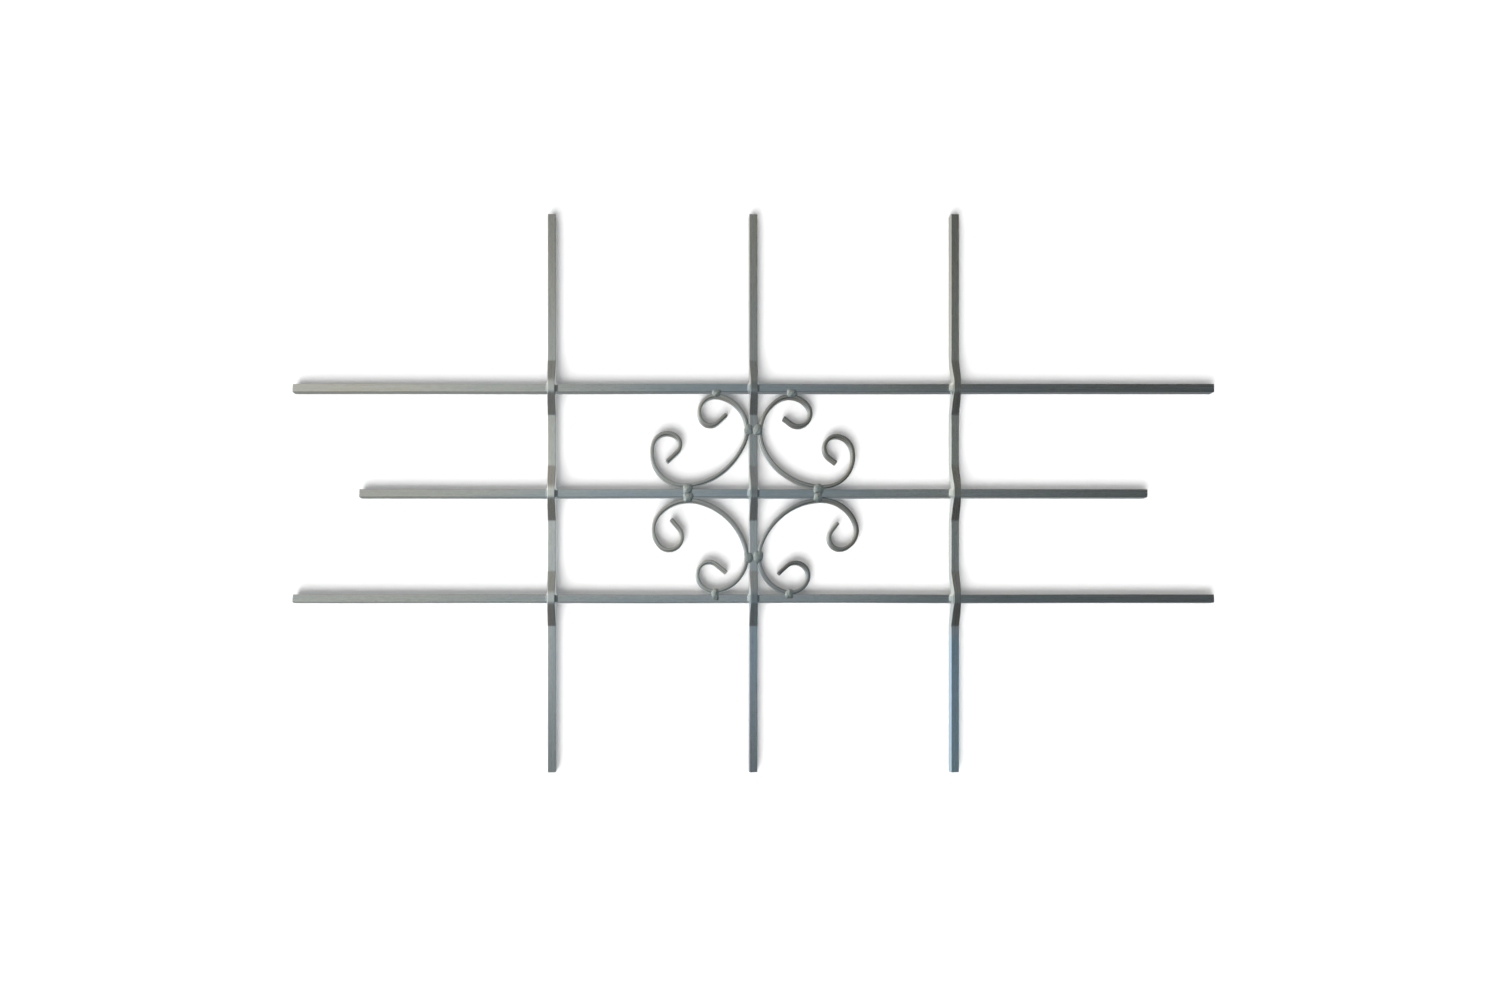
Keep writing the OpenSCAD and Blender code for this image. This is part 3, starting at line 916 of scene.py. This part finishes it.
def studio_room(studio):
    """The studio as the metal sees it, by direction.

    It is light to the left and dark to the right, and darker above and below than level with the lens. The
    camera itself sees it as plain white.
    """
    world = bpy.data.worlds.new("studio_room")
    bpy.context.scene.world = world
    world.use_nodes = True
    tree = world.node_tree
    tree.nodes.clear()
    out = add(tree, "ShaderNodeOutputWorld")
    direction = add(tree, "ShaderNodeTexCoord").outputs["Generated"]
    split = add(tree, "ShaderNodeSeparateXYZ", {0: direction}).outputs
    across, up = (
        add(tree, "ShaderNodeMath", {0: split[axis], 1: 0.5, 2: 0.5}, operation="MULTIPLY_ADD").outputs[0]
        for axis in "XZ"
    )
    sides = add(
        tree,
        "ShaderNodeValToRGB",
        {"Fac": across},
        stops=[
            (0.0, (1.2, 1.2, 1.2)),
            (0.25, (1.0, 0.95, 0.9)),
            (0.35, (0.77, 0.70, 0.60)),
            (0.45, (0.54, 0.55, 0.55)),
            (0.50, (0.46, 0.50, 0.54)),
            (0.60, (0.25, 0.27, 0.285)),
            (0.65, (0.17, 0.18, 0.18)),
            (0.70, (0.12, 0.125, 0.13)),
            (0.85, (0.10, 0.10, 0.10)),
            (1.0, (0.35, 0.35, 0.35)),
        ],
    ).outputs["Color"]
    heights = add(
        tree,
        "ShaderNodeValToRGB",
        {"Fac": up},
        stops=[
            (0.0, (0.38, 0.36, 0.33)),
            (0.34, (0.36, 0.36, 0.35)),
            (0.42, (0.50, 0.53, 0.55)),
            (0.49, (0.80, 0.90, 0.98)),
            (0.60, (1.0, 1.05, 1.03)),
            (0.70, (0.83, 0.81, 0.76)),
            (0.90, (0.75, 0.72, 0.66)),
            (1.0, (0.42, 0.40, 0.37)),
        ],
    ).outputs["Color"]
    # The half of the room behind the grille is paler and more even, so that its back is lit too
    far_sides = add(
        tree,
        "ShaderNodeValToRGB",
        {"Fac": across},
        stops=[(0.0, (1.1, 1.1, 1.08)), (0.5, (0.75, 0.76, 0.77)), (1.0, (0.45, 0.46, 0.48))],
    ).outputs["Color"]
    behind = add(
        tree, "ShaderNodeMapRange", {"Value": split["Y"], "From Min": -0.02, "From Max": 0.2}
    ).outputs["Result"]
    sides = add(
        tree, "ShaderNodeMixRGB", {"Fac": behind, "Color1": sides, "Color2": far_sides}
    ).outputs["Color"]
    light = add(
        tree, "ShaderNodeVectorMath", {0: sides, 1: heights}, operation="MULTIPLY"
    ).outputs["Vector"]
    seen = add(tree, "ShaderNodeLightPath").outputs["Is Camera Ray"]
    room = add(
        tree, "ShaderNodeBackground", {"Color": light, "Strength": studio.room}
    ).outputs["Background"]
    white = add(
        tree, "ShaderNodeBackground", {"Color": (1.0, 1.0, 1.0, 1.0), "Strength": 1.0}
    ).outputs["Background"]
    mixed = add(tree, "ShaderNodeMixShader", {0: seen, 1: room, 2: white}).outputs["Shader"]
    tree.links.new(mixed, out.inputs["Surface"])


class GRILLE_OT_studio(Operator):
    """Set up the wall, the floor, the light and the camera"""

    bl_idname = "grille.studio"
    bl_label = "Studio"

    # For each lamp: its distance from the middle of the grille, the direction it stands in and its colour.
    # A large soft box low on the left casts the shadows, and a wide fill straight in front softens them
    LAMPS = {
        "key": (6.0, (-0.5, -1.0, -1.08), (1.0, 1.0, 1.0)),
        "fill": (3.0, (0.0, -1.0, 0.0), (0.86, 0.84, 1.0)),
    }
    # The camera faces the grille square on, a little left of its middle and below it
    CAMERA_PLACE = (-0.1277, -1.1976, -0.2554)
    SENSOR_MM, LENS_MM = 36.0, 23.28
    LENS_SHIFT = (0.0667, 0.1333)  # keeps the camera level and the grille in the frame

    def execute(self, context):
        studio = context.scene.grille_studio
        studio_sweep(studio)
        studio_room(studio)
        for kind, (distance, away, tint) in self.LAMPS.items():
            lamp = bpy.data.lights.new(kind + "_light", "AREA")
            lamp.shape, lamp.color = "DISK", tint
            lamp.size, lamp.energy = getattr(studio, kind + "_size"), getattr(studio, kind + "_power")
            light = bpy.data.objects.new(kind + "_light", lamp)
            context.collection.objects.link(light)
            light.location = np.array(away) / np.linalg.norm(away) * distance
            light.rotation_mode = "QUATERNION"
            light.rotation_quaternion = light.location.to_track_quat("Z", "Y")
            light.visible_glossy = False  # the metal takes its look from the room alone
            light.visible_camera = False
        lens = bpy.data.cameras.new("camera")
        lens.sensor_width, lens.lens = self.SENSOR_MM, self.LENS_MM
        lens.shift_x, lens.shift_y = self.LENS_SHIFT
        lens.clip_start, lens.clip_end = 0.01, 100.0
        camera = bpy.data.objects.new("camera", lens)
        context.collection.objects.link(camera)
        camera.location = self.CAMERA_PLACE
        camera.rotation_euler = (np.pi / 2, 0.0, 0.0)
        context.scene.camera = camera
        context.scene.view_settings.view_transform = "Standard"
        return {"FINISHED"}


# ---- Add-on -----------------------------------------------------------------

STEPS = (
    GRILLE_OT_level_bars,
    GRILLE_OT_uprights,
    GRILLE_OT_scrolls,
    GRILLE_OT_tacks,
    GRILLE_OT_crossing_welds,
    GRILLE_OT_studio,
)
GROUPS = {"grille_shape": GrilleShape, "grille_finish": GrilleFinish, "grille_studio": GrilleStudio}


class GRILLE_PT_panel(Panel):
    """Lists the grille's sizes, colours and making steps"""

    bl_idname = "GRILLE_PT_panel"
    bl_label = "Window grille"
    bl_space_type = "VIEW_3D"
    bl_region_type = "UI"
    bl_category = "Grille"

    def draw(self, context):
        for name, group in GROUPS.items():
            box = self.layout.box()
            for key in group.__annotations__:
                box.prop(getattr(context.scene, name), key)
        for step in STEPS:
            self.layout.operator(step.bl_idname)


def register():
    for cls in (*GROUPS.values(), *STEPS, GRILLE_PT_panel):
        bpy.utils.register_class(cls)
    for name, group in GROUPS.items():
        setattr(bpy.types.Scene, name, PointerProperty(type=group))


def unregister():
    for name in GROUPS:
        delattr(bpy.types.Scene, name)
    for cls in reversed((*GROUPS.values(), *STEPS, GRILLE_PT_panel)):
        bpy.utils.unregister_class(cls)


def main():
    """Builds the grille and its studio."""
    register()
    for step in STEPS:
        group, name = step.bl_idname.split(".")
        getattr(getattr(bpy.ops, group), name)()


if __name__ == "__main__":
    main()
